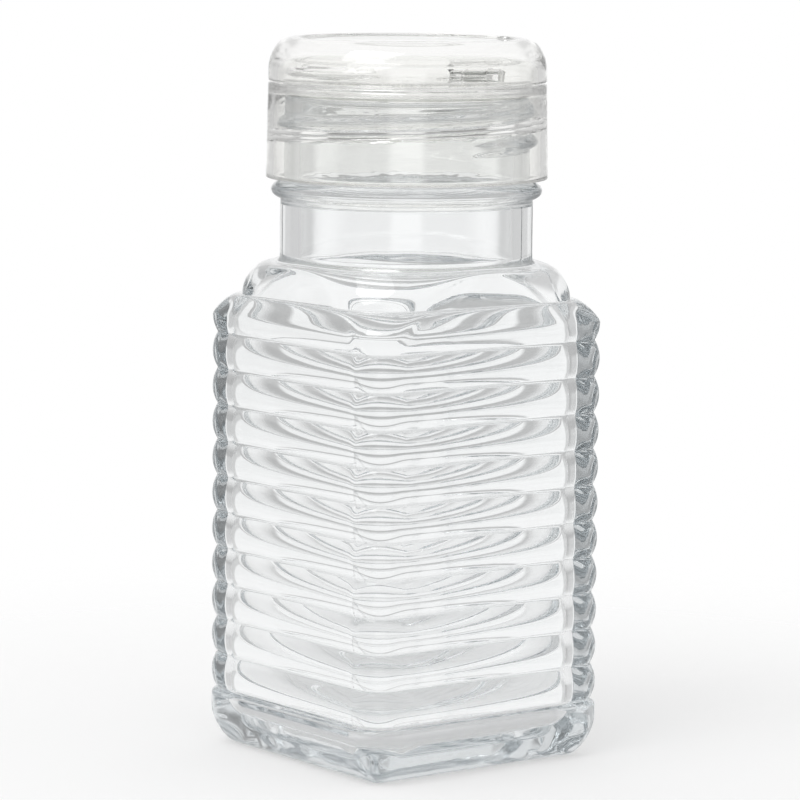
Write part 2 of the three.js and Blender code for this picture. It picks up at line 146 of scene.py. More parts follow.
def reach(direction, half_width, corner):
    """Distance from the axis to a rounded square: its flat side over the cosine, or its corner arc."""
    folded = direction % (np.pi / 2)
    angle = np.minimum(folded, np.pi / 2 - folded)
    centre = half_width - corner
    across = centre * (np.cos(angle) - np.sin(angle))
    along = centre * (np.cos(angle) + np.sin(angle))
    arc = along + np.sqrt(np.maximum(corner**2 - across**2, 0))
    return np.where(half_width * np.tan(angle) <= centre, half_width / np.cos(angle), arc)


def lofted(sections, directions, push):
    """Points in each section's plane, in each direction, at the section's reach plus the push."""
    height, half_width, corner = (column[:, None] for column in sections.T)
    distance = reach(directions[None, :], half_width, corner) + push
    return np.stack(np.broadcast_arrays(
        distance * np.cos(directions), distance * np.sin(directions), height), axis=-1)


def ring_quads(index):
    """Quads from each ring in a grid of point numbers to the next ring."""
    beside = np.roll(index, -1, axis=1)
    return np.stack([index[:-1], beside[:-1], beside[1:], index[1:]], axis=-1).reshape(-1, 4).tolist()


def smooth_mesh(name, points, faces):
    """A mesh of those points and faces, shaded smooth."""
    mesh = bpy.data.meshes.new(name)
    mesh.from_pydata(points.reshape(-1, 3).tolist(), [], faces)
    mesh.polygons.foreach_set("use_smooth", np.ones(len(mesh.polygons), bool))
    return mesh


def closed_mesh(name, points):
    """A mesh of a grid whose rows are rings: quads from row to row, and a fan at each end."""
    rows, columns = points.shape[:2]
    index = np.arange(rows * columns).reshape(rows, columns)
    beside = np.roll(index, -1, axis=1)
    first, last = np.full(columns, rows * columns), np.full(columns, rows * columns + 1)
    fans = np.concatenate([
        np.stack([first, beside[0], index[0]], axis=-1), np.stack([last, index[-1], beside[-1]], axis=-1)])
    poles = points[[0, -1]].mean(axis=1)
    corners = np.concatenate([points.reshape(-1, 3), poles])
    mesh = smooth_mesh(name, corners, ring_quads(index) + fans.tolist())
    mesh.validate()
    return mesh


def new_object(name, mesh):
    """An object of that mesh, at the origin."""
    made = bpy.data.objects.new(name, mesh)
    bpy.context.scene.collection.objects.link(made)
    return made


def ridge(directions, height, start, turns, start_direction, half_height):
    """How far a thread stands out, from 0 to 1: a rounded rib that climbs one pitch a turn.

    Across its height the rib is half a wave of a cosine. It fades over its first and last eighth of a turn.
    """
    total = np.zeros(np.broadcast_shapes(height.shape, directions.shape))
    for turn in range(int(np.ceil(turns)) + 1):
        run = (directions - start_direction) % (2 * np.pi) / (2 * np.pi) + turn
        off = (height - start - THREAD_PITCH * run) / half_height
        fade = np.clip(np.minimum(run, turns - run) / THREAD_FADE_TURNS, 0, 1)
        total += np.where(np.abs(off) < 1, fade * np.cos(np.pi / 2 * np.clip(off, -1, 1)), 0)
    return total


def waver(directions, height):
    """Unevenness of blown glass, from -1 to 1: three crossed waves, 81, 43 and 25 mm long up the jar.

    Each is a strength times the sine of its climb a step, plus its turns round the jar, plus its start.
    """
    return sum(
        strength * np.sin(climb * height / WAVE_STEP + turns * directions + start)
        for strength, climb, turns, start in WAVES)


def bent_share(run, power=2):
    """How far a rounded quarter has bent away after a share of its run: 1 - (1 - run^power)^(1/power)."""
    return 1 - (1 - run**power)**(1 / power)


def rib_rows(height, inset):
    """Level rows of the ribbed body at that inset. The corners sink less than the sides."""
    return level_rows(height, BODY_HALF - inset, BODY_CORNER - GROOVE_CORNER_SHARE * inset)


def jar_outside():
    """Level rows from the middle of the underside to the rim.

    In turn: the push-up, its slope, the band it stands on, the heel, the foot's side and edge, the
    ribs, the ledge, the dome, the neck's foot, the neck, the bead, the finish and the rim.
    """
    band = BODY_HALF - HEEL_INSET
    band_corner = BODY_CORNER - HEEL_INSET
    hollow = PUSH_UP_HALF + PUSH_UP_SLOPE
    hollow_corner = PUSH_UP_CORNER + PUSH_UP_SLOPE
    grown = POLE_SHARE + (1 - POLE_SHARE) * share(4)
    stretches = [level_rows(PUSH_UP_HEIGHT, PUSH_UP_HALF * grown, PUSH_UP_CORNER * grown)]
    s = share(6)
    sunk = (1 + np.cos(np.pi * s)) / 2
    out = PUSH_UP_SLOPE * s
    stretches.append(level_rows(PUSH_UP_HEIGHT * sunk, PUSH_UP_HALF + out, PUSH_UP_CORNER + out))
    s = share(4)
    stretches.append(level_rows(
        0, hollow + (band - hollow) * s, hollow_corner + (band_corner - hollow_corner) * s))
    run = np.cos(np.pi / 2 * share(14))
    out = HEEL_INSET * (1 - bent_share(run, HEEL_POWER))
    stretches.append(level_rows(HEEL_HEIGHT * (1 - run), band + out, band_corner + out))
    s = share(8)
    foot_side = FOOT_HEIGHT - FOOT_EDGE - HEEL_HEIGHT
    stretches.append(level_rows(HEEL_HEIGHT + foot_side * s, BODY_HALF, BODY_CORNER))
    s = share(5)
    stretches.append(rib_rows(FOOT_HEIGHT - FOOT_EDGE * (1 - s), RIB_DEPTH * s**2))
    s = np.concatenate([share(18) + rib for rib in range(RIB_COUNT)])
    s = s[s < RIB_COUNT - 0.5]
    stretches.append(rib_rows(FOOT_HEIGHT + RIB_PITCH * s, RIB_DEPTH * (2 * (s % 1) - 1)**2))
    run = np.sin(np.pi / 2 * share(12, whole=True))
    bent = bent_share(run, LEDGE_POWER)
    crest = RIB_TOP - RIB_PITCH / 2
    stretches.append(level_rows(
        crest + (LEDGE - crest) * run, BODY_HALF - LEDGE_INSET * bent,
        BODY_CORNER + (LEDGE_CORNER - BODY_CORNER) * bent))
    run = np.sin(np.pi / 2 * share(26))
    bent = bent_share(run)
    neck_foot = NECK_RADIUS + NECK_FOOT_ROUND
    stretches.append(level_rows(
        LEDGE + DOME_HEIGHT * run, DOME_HALF + (neck_foot - DOME_HALF) * bent,
        DOME_CORNER + (neck_foot - DOME_CORNER) * bent))
    bend = np.pi / 2 * share(8)
    radius = neck_foot - NECK_FOOT_ROUND * np.sin(bend)
    stretches.append(level_rows(NECK_BOTTOM + NECK_FOOT_ROUND * (1 - np.cos(bend)), radius, radius))
    neck_start = NECK_BOTTOM + NECK_FOOT_ROUND
    stretches.append(level_rows(neck_start + (BEAD_BOTTOM - neck_start) * share(8), NECK_RADIUS, NECK_RADIUS))
    s = share(16)
    radius = NECK_RADIUS - FINISH_INSET * s + BEAD_REACH * np.sin(np.pi * s)**BEAD_POWER
    stretches.append(level_rows(BEAD_BOTTOM + BEAD_HEIGHT * s, radius, radius))
    finish_side = FINISH_HEIGHT - RIM_ROUND
    stretches.append(level_rows(FINISH_BOTTOM + finish_side * share(42), FINISH_RADIUS, FINISH_RADIUS))
    bend = np.pi / 2 * share(6, whole=True)
    radius = FINISH_RADIUS - RIM_ROUND * (1 - np.cos(bend))
    stretches.append(level_rows(RIM_HEIGHT - RIM_ROUND * (1 - np.sin(bend)), radius, radius))
    return np.concatenate(stretches)


def jar_inside():
    """Level rows from the rim down the bore and the walls to the middle of the floor.

    In turn: the rim, the bore, the soft bend under it, the shoulder, the walls, the heel and the floor.
    """
    bend = np.pi / 2 * share(6)
    radius = BORE + RIM_ROUND * (1 - np.sin(bend))
    stretches = [level_rows(RIM_HEIGHT - RIM_ROUND * (1 - np.cos(bend)), radius, radius)]
    high, low = RIM_HEIGHT - RIM_ROUND, NECK_BOTTOM + INNER_NECK_ROUND
    stretches.append(level_rows(high - (high - low) * share(14), BORE, BORE))
    bend = np.pi / 2 * share(10)
    radius = BORE + INNER_NECK_ROUND * (1 - np.cos(bend))
    stretches.append(level_rows(low - INNER_NECK_ROUND * np.sin(bend), radius, radius))
    run = np.cos(np.pi / 2 * share(22))
    bent = bent_share(run)
    wide = BORE + INNER_NECK_ROUND
    rounded_so_far = INNER_ROUNDING_EVEN_SHARE * run + (1 - INNER_ROUNDING_EVEN_SHARE) * bent
    stretches.append(level_rows(
        SHOULDER_START + (NECK_BOTTOM - SHOULDER_START) * run,
        CAVITY_HALF + (wide - CAVITY_HALF) * bent, CAVITY_CORNER + (wide - CAVITY_CORNER) * rounded_so_far))
    wall_side = CAVITY_HEEL_TOP - SHOULDER_START
    stretches.append(level_rows(SHOULDER_START + wall_side * share(80), CAVITY_HALF, CAVITY_CORNER))
    bend = np.pi / 2 * share(9)
    inset = CAVITY_HEEL * (1 - np.cos(bend))
    stretches.append(level_rows(
        CAVITY_FLOOR + CAVITY_HEEL * (1 - np.sin(bend)), CAVITY_HALF - inset, CAVITY_CORNER - inset / 2))
    shrink = 1 - (1 - POLE_SHARE) * share(6)
    stretches.append(level_rows(CAVITY_FLOOR, (CAVITY_HALF - CAVITY_HEEL) * shrink, CAVITY_CORNER * shrink))
    return np.concatenate(stretches)


def jar_points():
    """The jar's grid: its sections, moved out by the thread and the mould seam.

    The inside wavers, and below the neck it eases over to its off-centre place by a smooth step.
    """
    outside, inside = jar_outside(), jar_inside()
    sections = np.concatenate([outside, inside])
    directions = around(COLUMNS_A_QUARTER)
    height = sections[:, :1]
    is_inside = np.arange(len(sections))[:, None] >= len(outside)
    thread = ridge(
        directions, height, GLASS_THREAD_START, GLASS_THREAD_TURNS, GLASS_THREAD_FROM,
        GLASS_THREAD_HEIGHT / 2)
    on_finish = ~is_inside & (height > FINISH_BOTTOM) & (height < RIM_HEIGHT - RIM_ROUND)
    push = np.where(on_finish, GLASS_THREAD_DEPTH * thread, 0)
    from_seam = (directions - SEAM_DIRECTION + np.pi / 2) % np.pi - np.pi / 2
    seam = np.exp(-(from_seam * BODY_HALF / SEAM_WIDTH)**2)
    push += np.where(~is_inside & (height > HEEL_HEIGHT) & (height < BEAD_BOTTOM), SEAM_HEIGHT * seam, 0)
    over_heel = np.clip((height - CAVITY_HEEL_TOP) / RIB_PITCH, 0, 1)
    under_shoulder = np.clip((SHOULDER_START - height) / RIB_PITCH, 0, 1)
    push += np.where(is_inside, over_heel * under_shoulder * WAVER * waver(directions, height), 0)
    points = lofted(sections, directions, push)
    deep = np.clip((NECK_BOTTOM - height) / (NECK_BOTTOM - SHOULDER_START), 0, 1)
    points[..., :2] += np.where(is_inside, deep**2 * (3 - 2 * deep), 0)[..., None] * OFF_CENTRE
    return points


def linear(code):
    """An sRGB hex colour as linear red, green, blue and alpha."""
    value = np.array([int(code[at:at + 2], 16) for at in (1, 3, 5)]) / 255
    value = np.where(value <= 0.04045, value / 12.92, ((value + 0.055) / 1.055)**2.4)
    return (*value.tolist(), 1.0)


def add(tree, kind, inputs=None, **settings):
    """Adds a node, sets its settings, and fills or links its inputs."""
    made = tree.nodes.new(kind)
    for name, value in settings.items():
        setattr(made, name, value)
    for name, value in (inputs or {}).items():
        if isinstance(value, bpy.types.NodeSocket):
            tree.links.new(value, made.inputs[name])
        else:
            made.inputs[name].default_value = value
    return made


def new_material(name):
    """An empty node material, with its tree."""
    made = bpy.data.materials.new(name)
    made.use_nodes = True
    made.node_tree.nodes.clear()
    return made, made.node_tree


def clear_finish(name, light, dark, ior, roughness, wave, wave_depth, body, density, stretch=(1, 1, 1)):
    """A clear body whose surface rises and falls by wave_depth over a wave, with a faint tint drift.

    Light that runs far through it takes on the colour of the body, as plain absorption.
    """
    made, tree = new_material(name)
    place = add(tree, "ShaderNodeTexCoord").outputs["Object"]
    mapped = add(tree, "ShaderNodeMapping", {"Vector": place, "Scale": stretch}).outputs[0]
    noise = add(tree, "ShaderNodeTexNoise", {
        "Vector": mapped, "Scale": 1 / wave, "Detail": 2.0, "Roughness": 0.4})
    drift = add(tree, "ShaderNodeTexNoise", {"Vector": place, "Scale": 1 / (4 * wave), "Detail": 1.0})
    tint = add(tree, "ShaderNodeMix", {
        "Factor": drift.outputs[0], "A": linear(light), "B": linear(dark)}, data_type="RGBA")
    bump = add(tree, "ShaderNodeBump", {
        "Strength": 1.0, "Distance": wave_depth, "Height": noise.outputs[0]})
    shader = add(tree, "ShaderNodeBsdfPrincipled", {
        "Base Color": tint.outputs["Result"], "Normal": bump.outputs[0],
        "Transmission Weight": 1.0, "IOR": ior, "Roughness": roughness})
    depth = add(tree, "ShaderNodeVolumeAbsorption", {"Color": linear(body), "Density": density})
    add(tree, "ShaderNodeOutputMaterial", {"Surface": shader.outputs[0], "Volume": depth.outputs[0]})
    return made


# Pressed soda-lime glass, fire-polished by the mould's heat: clear, a breath of grey-blue in
# the thick parts, with slow waves 6 mm long in its skin that bend what is seen through it.
pressed_glass = clear_finish(
    "pressed_soda_lime_glass", "#ffffff", "#fdfefe", ior=1.52, roughness=0.0,
    wave=6 * MM, wave_depth=0.02 * MM, body="#86979f", density=11.0)

jar = new_object("jar_glass", closed_mesh("jar_glass", jar_points()))
jar.data.materials.append(pressed_glass)
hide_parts("glass_jar")
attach(jar, "jar")


# Sealing ring: a flat washer of milky silicone that lies between the glass rim and the cap's
# seat. It is punched from sheet, so its edges are only just rounded.
RING_LOW, RING_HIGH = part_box("sealing_ring")
RING_OUTER = RING_HIGH.x
RING_BORE_GAP = 0.2 * MM
RING_INNER = BORE + RING_BORE_GAP
RING_MIDDLE = (RING_INNER + RING_OUTER) / 2
RING_EDGE = 0.12 * MM
RING_COLUMNS = 128


def turned_points(profile, columns, push=0):
    """A profile of radius and height carried once round the axis, moved out by the push."""
    directions = 2 * np.pi * share(columns)
    radius, height = (column[:, None] for column in profile.T)
    distance = radius + push
    return np.stack(np.broadcast_arrays(
        distance * np.cos(directions), distance * np.sin(directions), height), axis=-1)


def rounded(corners, radii, steps=5):
    """A profile through corners, each cut by an arc-like curve of its radius: a quadratic bend.

    No curve takes more than 0.49 of the straight on either side of it, so neighbours never cross.
    """
    corners = np.array(corners, float)
    path = [corners[:1]]
    for before, here, after, radius in zip(corners[:-2], corners[1:-1], corners[2:], radii):
        back, ahead = before - here, after - here
        cut = min(radius, np.linalg.norm(back) * 0.49, np.linalg.norm(ahead) * 0.49)
        start = here + back / np.linalg.norm(back) * cut
        end = here + ahead / np.linalg.norm(ahead) * cut
        s = share(steps, whole=True)[:, None]
        path.append((1 - s)**2 * start + 2 * s * (1 - s) * here + s**2 * end)
    path.append(corners[-1:])
    return np.concatenate(path)


def ring_mesh(name, points):
    """A mesh of a grid that closes both ways, such as a ring: its last row joins its first."""
    rows, columns = points.shape[:2]
    index = np.arange(rows * columns).reshape(rows, columns)
    return smooth_mesh(name, points, ring_quads(np.concatenate([index, index[:1]])))


ring_profile = rounded(
    [(RING_MIDDLE, RING_LOW.z), (RING_OUTER, RING_LOW.z), (RING_OUTER, RING_HIGH.z),
     (RING_INNER, RING_HIGH.z), (RING_INNER, RING_LOW.z), (RING_MIDDLE, RING_LOW.z)],
    [RING_EDGE] * 4)[:-1]
ring = new_object("seal_ring", ring_mesh("seal_ring", turned_points(ring_profile, RING_COLUMNS)))

# Milky silicone rubber, pressed in a polished tool: nearly clear, so thin a washer only blurs
# and pales what is behind it, with a soft satin skin and a grain of about 1 mm.
silicone, tree = new_material("milky_silicone_rubber")
place = add(tree, "ShaderNodeTexCoord").outputs["Object"]
grain = add(tree, "ShaderNodeTexNoise", {"Vector": place, "Scale": 1 / MM, "Detail": 3.0})
tint = add(tree, "ShaderNodeMix", {
    "Factor": grain.outputs[0], "A": linear("#fafaf8"), "B": linear("#f2f3ef")}, data_type="RGBA")
bump = add(tree, "ShaderNodeBump", {"Strength": 1.0, "Distance": 0.01 * MM, "Height": grain.outputs[0]})
shader = add(tree, "ShaderNodeBsdfPrincipled", {
    "Base Color": tint.outputs["Result"], "Normal": bump.outputs[0],
    "Transmission Weight": 0.92, "IOR": 1.41, "Roughness": 0.2})
add(tree, "ShaderNodeOutputMaterial", {"Surface": shader.outputs[0]})
ring.data.materials.append(silicone)
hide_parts("sealing_ring")
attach(ring, "seal")


# Screw cap: clear polystyrene, injection moulded in one shot. A threaded skirt, a thin deck with
# seven pour holes, a raised middle that the lid closes over, and two ears for the hinge pin.
FRONT_TURN = np.radians(18)
SKIRT_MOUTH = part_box("screw_cap")[0].z
THREAD_GAP = 0.35 * MM
SKIRT_WALL = 0.83 * MM
SKIRT_DRAFT = 0.28 * MM
CAP_BORE = FINISH_RADIUS + GLASS_THREAD_DEPTH + THREAD_GAP
SHOULDER_RADIUS = CAP_BORE + SKIRT_WALL
SKIRT_RADIUS = SHOULDER_RADIUS + SKIRT_DRAFT
MOUTH_CHAMFER = 0.4 * MM
SEAT_GAP = 0.3 * MM
SEAT_ROUND = 0.5 * MM
SEAT_OVERLAP = 0.6 * MM
SEAT = RING_HIGH.z + SEAT_GAP
DECK = 1 * MM
SHOULDER = SEAT + DECK
LID_BOTTOM = SHOULDER + SEAT_GAP
SPIGOT_HEIGHT = 0.8 * MM
DECK_TOP = SHOULDER + SPIGOT_HEIGHT
LID_WALL = 1.35 * MM
SPIGOT_GAP = 0.73 * MM
SPIGOT_RADIUS = SHOULDER_RADIUS - LID_WALL - SPIGOT_GAP
SPIGOT_FLAT_DEPTH = 1 * MM
SPIGOT_FLAT = SPIGOT_RADIUS - SPIGOT_FLAT_DEPTH
CAP_ROUNDINGS = [
    0.2 * MM, 0.2 * MM, SEAT_ROUND, 0.2 * MM, 0.2 * MM, 0.15 * MM, 0.3 * MM, 0.2 * MM, 0.25 * MM]
CAP_THREAD_DEPTH = 1 * MM
CAP_THREAD_HEIGHT = 1.7 * MM
CAP_THREAD_TURNS = 1.1
CAP_THREAD_DROP = 2.15 * MM
CAP_THREAD_OFFSET = 1.55 * MM
CAP_THREAD_START = SEAT - CAP_THREAD_DROP - CAP_THREAD_TURNS * THREAD_PITCH
HOLE_RADIUS = 1.2 * MM
HOLE_RING = 6.4 * MM
HOLE_COUNT = 6
HINGE_INSET = 0.78 * MM
HINGE_RADIUS = SHOULDER_RADIUS - HINGE_INSET
KNUCKLE_RADIUS = 1.7 * MM
KNUCKLE_HALF = 2 * MM
PIN_RADIUS = 0.75 * MM
PIN_GAP = 0.3 * MM
PIN_SLIP = 0.05 * MM
EAR_LENGTH = 2.1 * MM
EAR_FRONT = 0.9 * MM
EAR_FOOT = 2.5 * MM
EAR_START = KNUCKLE_HALF + PIN_GAP
HINGE_HALF = EAR_START + EAR_LENGTH
HINGE_HEIGHT = SHOULDER + SEAT_GAP + KNUCKLE_RADIUS
CAP_COLUMNS = 192
MIDDLE_RADIUS = 0.2 * MM
BAR_MIDDLE = 0.02 * MM
OVERRUN = 1 * MM
SHARP_ANGLE = np.radians(32)
HAIR = 1e-6 * MM


def cap_points():
    """The cap's shell: a profile from the deck's underside over the skirt to its top, with the thread."""
    outline = rounded([
        (MIDDLE_RADIUS, DECK_TOP - DECK), (BORE - SEAT_OVERLAP, DECK_TOP - DECK), (BORE - SEAT_OVERLAP, SEAT),
        (CAP_BORE, SEAT), (CAP_BORE, SKIRT_MOUTH + MOUTH_CHAMFER), (CAP_BORE + MOUTH_CHAMFER, SKIRT_MOUTH),
        (SKIRT_RADIUS, SKIRT_MOUTH), (SHOULDER_RADIUS, SHOULDER), (SPIGOT_RADIUS, SHOULDER),
        (SPIGOT_RADIUS, DECK_TOP), (MIDDLE_RADIUS, DECK_TOP)], CAP_ROUNDINGS)
    on_bore = np.abs(outline[:, 0] - CAP_BORE) < HAIR
    top = np.flatnonzero(on_bore & (outline[:, 1] > SKIRT_MOUTH + MOUTH_CHAMFER))[0]
    s = share(60, whole=True)[1:-1, None]
    filled = outline[top] + (outline[top + 1] - outline[top]) * s
    profile = np.concatenate([outline[:top + 1], filled, outline[top + 1:]])
    directions = 2 * np.pi * share(CAP_COLUMNS)
    height = profile[:, 1:]
    lead = CAP_THREAD_START + CAP_THREAD_OFFSET - GLASS_THREAD_START
    start_direction = GLASS_THREAD_FROM + 2 * np.pi * lead / THREAD_PITCH
    thread = ridge(
        directions, height, CAP_THREAD_START, CAP_THREAD_TURNS, start_direction, CAP_THREAD_HEIGHT / 2)
    on_bore = (np.abs(profile[:, :1] - CAP_BORE) < HAIR) & (height < SEAT - SEAT_ROUND)
    return turned_points(profile, CAP_COLUMNS, np.where(on_bore, -CAP_THREAD_DEPTH * thread, 0))


def bar_points(radius, start, end, columns=40, edge=0.0):
    """A round bar along the hinge line, from start to end, with edges rounded by edge."""
    corners = [(start, BAR_MIDDLE), (start, radius), (end, radius), (end, BAR_MIDDLE)]
    profile = rounded(corners, [edge, edge]) if edge else np.array(corners)
    turn = 2 * np.pi * share(columns)
    along, out = (column[:, None] for column in profile.T)
    return np.stack(np.broadcast_arrays(along, out * np.cos(turn), out * np.sin(turn)), axis=-1)


def with_turn(points):
    """Points turned about the jar's axis, so that -Y becomes the lid's front."""
    c, s = np.cos(FRONT_TURN), np.sin(FRONT_TURN)
    return points @ np.array([[c, s, 0], [-s, c, 0], [0, 0, 1]])


def to_hinge(points):
    """Points along X about the origin, moved to the hinge line and turned with the closure."""
    return with_turn(points + np.array([0, HINGE_RADIUS, HINGE_HEIGHT]))


def ear_points(start, end):
    """An arch over the pin on a straight foot, as rings of one outline from start to end."""
    arch = np.radians(np.linspace(0, 180, 25))
    outline = np.concatenate([
        [(EAR_FRONT, -EAR_FOOT)], KNUCKLE_RADIUS * np.stack([np.cos(arch), np.sin(arch)], axis=1),
        [(-KNUCKLE_RADIUS, -EAR_FOOT)]])
    return np.stack([np.column_stack([np.full(len(outline), at), outline]) for at in (start, end)])


def block_points(low, high):
    """A box from its lowest to its highest corner, as two rings of four."""
    (x0, y0, z0), (x1, y1, z1) = low, high
    ring = [(y0, z0), (y1, z0), (y1, z1), (y0, z1)]
    return np.array([[(x, y, z) for y, z in ring] for x in (x0, x1)])


def disc_cutter(x, y, radius, low, high, columns=40):
    """An upright round drill at x and y."""
    turn = 2 * np.pi * share(columns)
    ring = np.stack([x + radius * np.cos(turn), y + radius * np.sin(turn)], axis=1)
    return np.stack([np.column_stack([ring, np.full(columns, z)]) for z in (low, high)])


def joined(name, base, others):
    """The base mesh with each other solid added or cut away, its sharp edges marked by their angle."""
    whole = new_object(name, base)
    for number, (way, points) in enumerate(others):
        tool = new_object(f"{name}_tool_{number}", closed_mesh(f"{name}_tool_{number}", points))
        step = whole.modifiers.new("cut", "BOOLEAN")
        step.operation, step.solver, step.object = way, "EXACT", tool
        made = bpy.data.meshes.new_from_object(whole.evaluated_get(bpy.context.evaluated_depsgraph_get()))
        whole.modifiers.clear()
        whole.data = made
        bpy.data.objects.remove(tool)
    whole.data.name = name
    whole.data.polygons.foreach_set("use_smooth", np.ones(len(whole.data.polygons), bool))
    whole.data.set_sharp_from_angle(angle=SHARP_ANGLE)
    return whole


hinge_room = block_points(
    (-SPIGOT_RADIUS, SPIGOT_FLAT, SHOULDER), (SPIGOT_RADIUS, SKIRT_RADIUS + OVERRUN, DECK_TOP + OVERRUN))
cap_cuts = [("DIFFERENCE", with_turn(hinge_room))]
for start, end in ((EAR_START, HINGE_HALF), (-HINGE_HALF, -EAR_START)):
    cap_cuts.append(("UNION", to_hinge(ear_points(start, end))))
cap_cuts.append(("DIFFERENCE", to_hinge(
    bar_points(PIN_RADIUS + PIN_SLIP, -HINGE_HALF - OVERRUN, HINGE_HALF + OVERRUN))))
hole_places = [(0.0, 0.0)]
for hole in range(HOLE_COUNT):
    angle = 2 * np.pi * hole / HOLE_COUNT + FRONT_TURN
    hole_places.append((HOLE_RING * np.cos(angle), HOLE_RING * np.sin(angle)))
for x, y in hole_places:
    cap_cuts.append(("DIFFERENCE", disc_cutter(
        x, y, HOLE_RADIUS, DECK_TOP - DECK - OVERRUN, DECK_TOP + OVERRUN)))
cap = joined("cap_body", closed_mesh("cap_body", cap_points()), cap_cuts)

# Clear polystyrene, injection moulded in polished steel: bright and clear with a warm grey cast,
# and faint flow lines round the skirt, drawn 2 mm apart.
moulded_polystyrene = clear_finish(
    "moulded_clear_polystyrene", "#fefefd", "#fcfcfa", ior=1.585, roughness=0.02,
    wave=6 * MM, wave_depth=0.03 * MM, body="#9b9c98", density=4.0, stretch=(1, 1, 3))
cap.data.materials.append(moulded_polystyrene)
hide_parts("screw_cap")
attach(cap, "cap")


# Flip lid: a shallow cup of the same clear plastic, moulded on its own. A rounded top edge, a
# shallow dish in its top, a lens-shaped dent for the thumb, and the hinge knuckle at its back.
LID_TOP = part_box("flip_lid")[1].z
LID_EDGE_REACH = 3.2 * MM
LID_EDGE_HEIGHT = 4.8 * MM
LID_RIM = 1.48 * MM
LID_DISH = 0.35 * MM
LID_TOP_WALL = 1.05 * MM
LID_EDGE_BREAK = 0.3 * MM
LID_BORE_BREAK = 0.2 * MM
LID_CLEAR_TOP = HINGE_HEIGHT + KNUCKLE_RADIUS + PIN_GAP
NOTCH_HALF = 8.3 * MM
NOTCH_HEIGHT = 1.5 * MM
NOTCH_DEPTH = 0.6 * MM
NOTCH_RISE = 1.6 * MM
NOTCH_WALL = 0.4 * MM


def lid_points():
    """The lid's shell from the middle of its ceiling over its lower edge to the middle of its top.

    Its rounded edge is a quarter ellipse. The notch is a half ellipse up the wall whose height and
    depth shrink to nothing at the notch's ends.
    """
    edge_bottom = LID_TOP - LID_EDGE_HEIGHT
    ceiling = LID_TOP - LID_DISH - LID_TOP_WALL
    bore = SHOULDER_RADIUS - LID_WALL
    dish = SHOULDER_RADIUS - LID_EDGE_REACH - LID_RIM
    bend = np.pi / 2 * share(24, whole=True)
    inner = np.column_stack([
        bore - LID_EDGE_REACH * (1 - np.cos(bend)), edge_bottom + (ceiling - edge_bottom) * np.sin(bend)])
    outer = np.column_stack([
        SHOULDER_RADIUS - LID_EDGE_REACH * (1 - np.cos(bend)), edge_bottom + LID_EDGE_HEIGHT * np.sin(bend)])
    wall = np.linspace(LID_BOTTOM, edge_bottom, 14)
    foot = rounded(
        [(bore, edge_bottom), (bore, LID_BOTTOM), (SHOULDER_RADIUS, LID_BOTTOM), (SHOULDER_RADIUS, wall[2])],
        [LID_BORE_BREAK, LID_EDGE_BREAK])[1:-1]
    side = np.column_stack([np.full(len(wall) - 2, SHOULDER_RADIUS), wall[2:]])
    dish_floor = LID_TOP - LID_DISH
    top = rounded(
        [outer[-1], (dish + LID_DISH, LID_TOP), (dish, dish_floor), (MIDDLE_RADIUS, dish_floor)],
        [LID_EDGE_BREAK, LID_EDGE_BREAK])[1:]
    profile = np.concatenate([[(MIDDLE_RADIUS, ceiling)], inner[::-1], foot, side, outer[1:], top])
    directions = 2 * np.pi * share(CAP_COLUMNS)
    off_front = (directions - (FRONT_TURN - np.pi / 2) + np.pi) % (2 * np.pi) - np.pi
    across = np.clip(np.abs(off_front) * SHOULDER_RADIUS / NOTCH_HALF, 0, 1)
    up = (profile[:, 1:] - LID_BOTTOM - NOTCH_RISE) / (NOTCH_HEIGHT / 2 * np.sqrt(1 - across**2) + HAIR)
    dent = NOTCH_DEPTH * (1 - across**2) * np.sqrt(np.clip(1 - up**2, 0, 1))
    is_outside = profile[:, :1] >= SHOULDER_RADIUS - NOTCH_WALL
    return turned_points(profile, CAP_COLUMNS, np.where(is_outside, -dent, 0))


window = block_points(
    (-HINGE_HALF - PIN_GAP, SPIGOT_FLAT, LID_BOTTOM - OVERRUN),
    (HINGE_HALF + PIN_GAP, SKIRT_RADIUS + OVERRUN, LID_CLEAR_TOP))
web = block_points(
    (-KNUCKLE_HALF, HINGE_RADIUS - KNUCKLE_RADIUS / 2, HINGE_HEIGHT),
    (KNUCKLE_HALF, HINGE_RADIUS + PIN_RADIUS / 2, LID_CLEAR_TOP + LID_EDGE_BREAK))
lid = joined("lid_shell", closed_mesh("lid_shell", lid_points()), [
    ("DIFFERENCE", with_turn(window)),
    ("UNION", with_turn(web)),
    ("UNION", to_hinge(bar_points(KNUCKLE_RADIUS, -KNUCKLE_HALF, KNUCKLE_HALF, 48))),
    ("DIFFERENCE", to_hinge(bar_points(PIN_RADIUS + PIN_SLIP, -2 * KNUCKLE_HALF, 2 * KNUCKLE_HALF)))])
lid.data.materials.append(moulded_polystyrene)
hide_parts("flip_lid")
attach(lid, "lid")


# Hinge pin: a cut length of drawn stainless wire, pressed through the ears, its ends just
# rounded by tumbling.
PIN_INSET = 0.2 * MM
PIN_HALF = HINGE_HALF - PIN_INSET
PIN_END_ROUND = 0.2 * MM
pin = new_object("hinge_wire", closed_mesh("hinge_wire", to_hinge(
    bar_points(PIN_RADIUS, -PIN_HALF, PIN_HALF, 48, edge=PIN_END_ROUND))))

